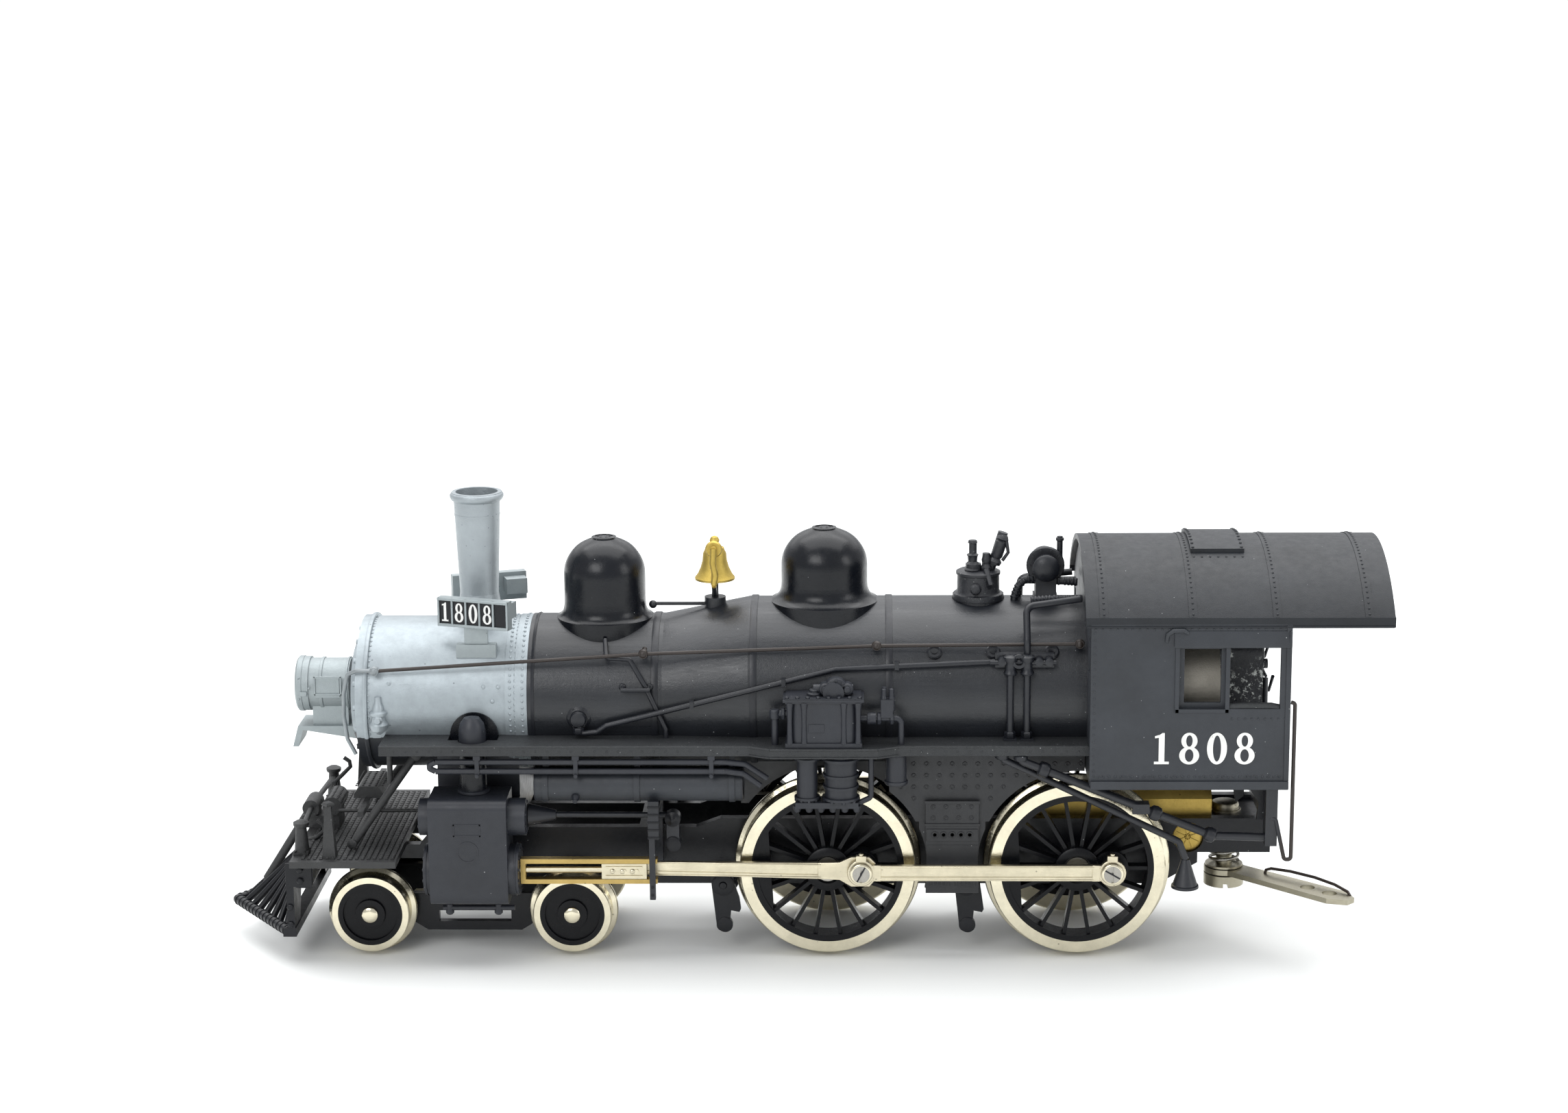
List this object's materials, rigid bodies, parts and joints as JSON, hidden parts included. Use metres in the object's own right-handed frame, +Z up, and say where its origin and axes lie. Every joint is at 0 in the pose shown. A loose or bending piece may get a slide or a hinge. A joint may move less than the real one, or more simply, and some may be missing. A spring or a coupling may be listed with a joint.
{
  "type": "model steam locomotive",
  "caption": "HO-scale model of a 4-4-0 steam locomotive with coupled spoked drivers, swivelling lead truck, worm drive, open cab and swinging drawbar.",
  "frame": {"origin": "centre of the bounding box at rail height, under the wheel flanges", "axes": "+X towards the cab and drawbar (the pilot points to -X), +Y towards the right-hand side looking forward, +Z up"},
  "size_m": [0.1412, 0.031, 0.056],
  "materials": {
    "black_paint": "satin",
    "silver_paint": "satin",
    "nickel": "polished",
    "brass": "satin",
    "gold": "polished",
    "bare_metal": "satin",
    "dark_wire": "satin",
    "lens": "polished"
  },
  "bodies": {
    "locomotive": {"main_frame": "black_paint", "pilot_deck": "black_paint", "pilot": "black_paint", "pilot_fittings": "black_paint", "cylinders": "black_paint", "steam_pipes": "black_paint", "smokebox": "silver_paint", "smokebox_front": "black_paint", "headlight": "silver_paint", "headlight_lens": "lens", "headlight_bracket": "black_paint", "chimney": "silver_paint", "number_boards": "silver_paint", "boiler_shell": "black_paint", "sand_dome": "black_paint", "steam_dome": "black_paint", "bell_stand": "black_paint", "bell": "gold", "turret": "black_paint", "turbo_generator": "black_paint", "handrails": "dark_wire", "boiler_piping": "black_paint", "running_boards": "black_paint", "air_pump": "black_paint", "cooling_pipes": "black_paint", "air_tanks": "black_paint", "firebox_sides": "black_paint", "brake_gear": "black_paint", "guide_bars": "brass", "valve_gear": "black_paint", "cab_body": "black_paint", "cab_roof": "black_paint", "roof_hatch": "black_paint", "window_frames": "black_paint", "backhead": "black_paint", "cab_pipes": "black_paint", "motor": "black_paint", "gearbox": "brass", "truck_pivot": "black_paint", "drawbar_screw": "nickel", "drawbar_spring": "bare_metal"},
    "front_drivers": {"front_driver_axle": "nickel", "front_wheel_centres": "black_paint", "front_tyres": "nickel"},
    "rear_drivers": {"rear_driver_axle": "nickel", "rear_wheel_centres": "black_paint", "rear_tyres": "nickel"},
    "coupling_rod_left": {"side_rod_left": "nickel"},
    "coupling_rod_right": {"side_rod_right": "nickel"},
    "connecting_rod_left": {"main_rod_left": "nickel"},
    "connecting_rod_right": {"main_rod_right": "nickel"},
    "piston_left": {"crosshead_left": "nickel"},
    "piston_right": {"crosshead_right": "nickel"},
    "truck": {"truck_frame": "black_paint"},
    "truck_front_wheels": {"truck_front_axle": "black_paint", "truck_front_tyres": "nickel"},
    "truck_rear_wheels": {"truck_rear_axle": "black_paint", "truck_rear_tyres": "nickel"},
    "drawbar_body": {"drawbar": "nickel"},
    "worm_body": {"worm_shaft": "bare_metal"}
  },
  "joints": [
    {"name": "front_driver_spin", "type": "hinge", "parent": "locomotive", "child": "front_drivers", "pos_m": [0.00414, 0, 0.01131], "axis": [0, 1, 0], "continuous": true},
    {"name": "rear_driver_spin", "type": "hinge", "parent": "locomotive", "child": "rear_drivers", "pos_m": [0.03429, 0, 0.01131], "axis": [0, 1, 0], "continuous": true},
    {"name": "side_rod_left_pin", "type": "hinge", "parent": "front_drivers", "child": "coupling_rod_left", "pos_m": [0.00818, -0.0121, 0.01152], "axis": [0, 1, 0], "continuous": true},
    {"name": "side_rod_right_pin", "type": "hinge", "parent": "front_drivers", "child": "coupling_rod_right", "pos_m": [0.00393, 0.0121, 0.01535], "axis": [0, 1, 0], "continuous": true},
    {"name": "main_rod_left_pin", "type": "hinge", "parent": "front_drivers", "child": "connecting_rod_left", "pos_m": [0.00818, -0.0114, 0.01152], "axis": [0, 1, 0], "continuous": true},
    {"name": "main_rod_right_pin", "type": "hinge", "parent": "front_drivers", "child": "connecting_rod_right", "pos_m": [0.00393, 0.0114, 0.01535], "axis": [0, 1, 0], "continuous": true},
    {"name": "worm_shaft_spin", "type": "hinge", "parent": "locomotive", "child": "worm_body", "pos_m": [0.036, 0, 0.01655], "axis": [1, 0, 0], "continuous": true},
    {"name": "crosshead_left_slide", "type": "slide", "parent": "locomotive", "child": "piston_left", "axis": [-1, 0, 0], "range_m": [0, 0.0081]},
    {"name": "crosshead_right_slide", "type": "slide", "parent": "locomotive", "child": "piston_right", "axis": [-1, 0, 0], "range_m": [-0.00405, 0.00405]},
    {"name": "truck_swivel", "type": "hinge", "parent": "locomotive", "child": "truck", "pos_m": [-0.03936, 0, 0.0066], "axis": [0, 0, 1], "range_deg": [-3, 3]},
    {"name": "truck_front_wheel_spin", "type": "hinge", "parent": "truck", "child": "truck_front_wheels", "pos_m": [-0.05172, 0, 0.00544], "axis": [0, 1, 0], "continuous": true},
    {"name": "truck_rear_wheel_spin", "type": "hinge", "parent": "truck", "child": "truck_rear_wheels", "pos_m": [-0.027, 0, 0.00544], "axis": [0, 1, 0], "continuous": true},
    {"name": "drawbar_swing", "type": "hinge", "parent": "locomotive", "child": "drawbar_body", "pos_m": [0.0531, 0, 0.0082], "axis": [0, 0, 1], "range_deg": [-13, 107]}
  ],
  "couplings": [
    {"joint": "rear_driver_spin", "follows": "front_driver_spin", "ratio": 1},
    {"joint": "side_rod_left_pin", "follows": "front_driver_spin", "ratio": -1},
    {"joint": "side_rod_right_pin", "follows": "front_driver_spin", "ratio": -1},
    {"joint": "main_rod_left_pin", "follows": "front_driver_spin", "ratio": -1},
    {"joint": "main_rod_right_pin", "follows": "front_driver_spin", "ratio": -1},
    {"joint": "worm_shaft_spin", "follows": "front_driver_spin", "ratio": -28}
  ]
}
